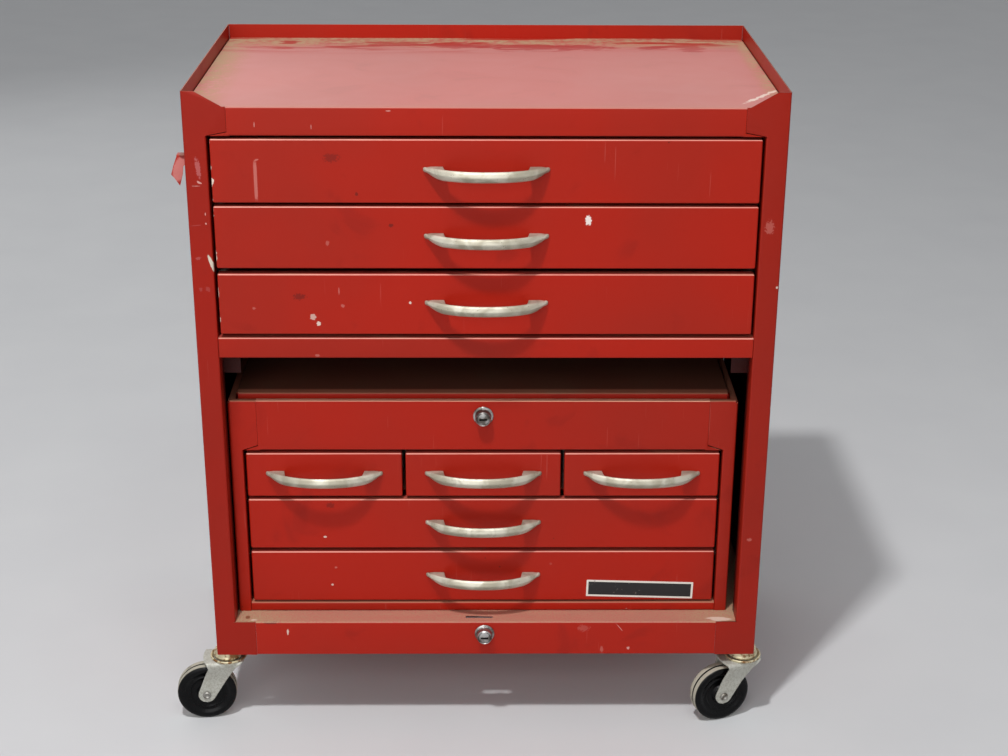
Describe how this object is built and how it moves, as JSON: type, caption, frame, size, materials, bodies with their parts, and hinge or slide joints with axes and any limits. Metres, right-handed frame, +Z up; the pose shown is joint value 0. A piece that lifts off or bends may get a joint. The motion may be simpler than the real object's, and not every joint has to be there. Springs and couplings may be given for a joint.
{
  "type": "rolling tool box",
  "caption": "Red steel roller cabinet on swivel casters, with wide drawers above and a separate lidded tool chest with its own drawers standing in the open compartment below.",
  "frame": {"origin": "centre of the outline seen from above, on the floor", "axes": "+Z up, -Y towards the drawer fronts, +X to the right of someone who faces them"},
  "size_m": [0.7245, 0.4098, 0.7965],
  "materials": {
    "red_paint": "semi-gloss, worn at the edges",
    "cast_metal": "satin cast, worn",
    "zinc": "zinc plated, dull",
    "yellow_zinc": "yellow passivated zinc",
    "nickel": "nickel plated, bright",
    "hard_rubber": "matte, scuffed tread"
  },
  "bodies": {
    "cabinet": {"cabinet_left_side": "red_paint", "cabinet_right_side": "red_paint", "cabinet_back": "red_paint", "cabinet_deck": "red_paint", "cabinet_shelf": "red_paint", "cabinet_base": "red_paint", "caster_angle_left": "red_paint", "caster_angle_right": "red_paint", "cabinet_side_bracket": "red_paint", "cabinet_runners_left": "zinc", "cabinet_runners_right": "zinc", "sill_lock_housing": "nickel", "front_left_caster_mount": "yellow_zinc", "front_right_caster_mount": "yellow_zinc", "rear_left_caster_mount": "yellow_zinc", "rear_right_caster_mount": "yellow_zinc"},
    "cabinet_drawer_top": {"cabinet_drawer_top": "red_paint", "cabinet_pull_top": "cast_metal"},
    "cabinet_drawer_middle": {"cabinet_drawer_middle": "red_paint", "cabinet_pull_middle": "cast_metal"},
    "cabinet_drawer_bottom": {"cabinet_drawer_bottom": "red_paint", "cabinet_pull_bottom": "cast_metal"},
    "sill_lock_cam": {"sill_lock_plug": "nickel"},
    "chest": {"chest_left_side": "red_paint", "chest_right_side": "red_paint", "chest_back": "red_paint", "chest_header": "red_paint", "chest_base": "red_paint", "chest_till_floor": "red_paint", "chest_mid_shelf": "red_paint", "chest_divider_left": "zinc", "chest_divider_right": "zinc", "chest_runners_left": "zinc", "chest_runners_right": "zinc", "chest_lock_housing": "nickel", "lid_hinge_pin": "zinc"},
    "chest_drawer_left": {"chest_drawer_left": "red_paint", "chest_pull_left": "cast_metal"},
    "chest_drawer_centre": {"chest_drawer_centre": "red_paint", "chest_pull_centre": "cast_metal"},
    "chest_drawer_right": {"chest_drawer_right": "red_paint", "chest_pull_right": "cast_metal"},
    "chest_drawer_upper": {"chest_drawer_upper": "red_paint", "chest_pull_upper": "cast_metal"},
    "chest_drawer_lower": {"chest_drawer_lower": "red_paint", "chest_pull_lower": "cast_metal"},
    "lid": {"chest_lid": "red_paint"},
    "chest_lock_cam": {"chest_lock_plug": "nickel"},
    "front_left_swivel": {"front_left_caster_fork": "zinc", "front_left_caster_axle": "zinc"},
    "front_left_wheel": {"front_left_caster_wheel": "hard_rubber"},
    "front_right_swivel": {"front_right_caster_fork": "zinc", "front_right_caster_axle": "zinc"},
    "front_right_wheel": {"front_right_caster_wheel": "hard_rubber"},
    "rear_left_swivel": {"rear_left_caster_fork": "zinc", "rear_left_caster_axle": "zinc"},
    "rear_left_wheel": {"rear_left_caster_wheel": "hard_rubber"},
    "rear_right_swivel": {"rear_right_caster_fork": "zinc", "rear_right_caster_axle": "zinc"},
    "rear_right_wheel": {"rear_right_caster_wheel": "hard_rubber"}
  },
  "joints": [
    {"name": "cabinet_drawer_top_slide", "type": "slide", "parent": "cabinet", "child": "cabinet_drawer_top", "axis": [0, -1, 0], "range_m": [0, 0.26]},
    {"name": "cabinet_drawer_middle_slide", "type": "slide", "parent": "cabinet", "child": "cabinet_drawer_middle", "axis": [0, -1, 0], "range_m": [0, 0.26]},
    {"name": "cabinet_drawer_bottom_slide", "type": "slide", "parent": "cabinet", "child": "cabinet_drawer_bottom", "axis": [0, -1, 0], "range_m": [0, 0.26]},
    {"name": "sill_lock_turn", "type": "hinge", "parent": "cabinet", "child": "sill_lock_cam", "pos_m": [0.02035, -0.17585, 0.1262], "axis": [0, -1, 0], "range_deg": [0, 90]},
    {"name": "chest_slide_out", "type": "slide", "parent": "cabinet", "child": "chest", "axis": [0, -1, 0], "range_m": [0, 0.4]},
    {"name": "chest_drawer_left_slide", "type": "slide", "parent": "chest", "child": "chest_drawer_left", "axis": [0, -1, 0], "range_m": [0, 0.21]},
    {"name": "chest_drawer_centre_slide", "type": "slide", "parent": "chest", "child": "chest_drawer_centre", "axis": [0, -1, 0], "range_m": [0, 0.21]},
    {"name": "chest_drawer_right_slide", "type": "slide", "parent": "chest", "child": "chest_drawer_right", "axis": [0, -1, 0], "range_m": [0, 0.21]},
    {"name": "chest_drawer_upper_slide", "type": "slide", "parent": "chest", "child": "chest_drawer_upper", "axis": [0, -1, 0], "range_m": [0, 0.21]},
    {"name": "chest_drawer_lower_slide", "type": "slide", "parent": "chest", "child": "chest_drawer_lower", "axis": [0, -1, 0], "range_m": [0, 0.21]},
    {"name": "lid_hinge", "type": "hinge", "parent": "chest", "child": "lid", "pos_m": [0.01865, 0.15355, 0.42601], "axis": [-1, 0, 0], "range_deg": [0, 10]},
    {"name": "chest_lock_turn", "type": "hinge", "parent": "chest", "child": "chest_lock_cam", "pos_m": [0.01865, -0.14785, 0.40401], "axis": [0, 1, 0], "range_deg": [0, 90]},
    {"name": "front_left_swivel_turn", "type": "hinge", "parent": "cabinet", "child": "front_left_swivel", "pos_m": [-0.29675, -0.15485, 0.0965], "axis": [0, 0, 1], "continuous": true},
    {"name": "front_left_wheel_spin", "type": "hinge", "parent": "front_left_swivel", "child": "front_left_wheel", "pos_m": [-0.32559, -0.15788, 0.0365], "axis": [-0.1045, 0.9945, 0], "continuous": true},
    {"name": "front_right_swivel_turn", "type": "hinge", "parent": "cabinet", "child": "front_right_swivel", "pos_m": [0.34125, -0.15485, 0.0965], "axis": [0, 0, 1], "continuous": true},
    {"name": "front_right_wheel_spin", "type": "hinge", "parent": "front_right_swivel", "child": "front_right_wheel", "pos_m": [0.31367, -0.16381, 0.0365], "axis": [-0.309, 0.9511, 0], "continuous": true},
    {"name": "rear_left_swivel_turn", "type": "hinge", "parent": "cabinet", "child": "rear_left_swivel", "pos_m": [-0.29675, 0.18315, 0.0965], "axis": [0, 0, 1], "continuous": true},
    {"name": "rear_left_wheel_spin", "type": "hinge", "parent": "rear_left_swivel", "child": "rear_left_wheel", "pos_m": [-0.32489, 0.17613, 0.0365], "axis": [-0.2419, 0.9703, 0], "continuous": true},
    {"name": "rear_right_swivel_turn", "type": "hinge", "parent": "cabinet", "child": "rear_right_swivel", "pos_m": [0.34125, 0.18315, 0.0965], "axis": [0, 0, 1], "continuous": true},
    {"name": "rear_right_wheel_spin", "type": "hinge", "parent": "rear_right_swivel", "child": "rear_right_wheel", "pos_m": [0.31337, 0.17516, 0.0365], "axis": [-0.2756, 0.9613, 0], "continuous": true}
  ]
}
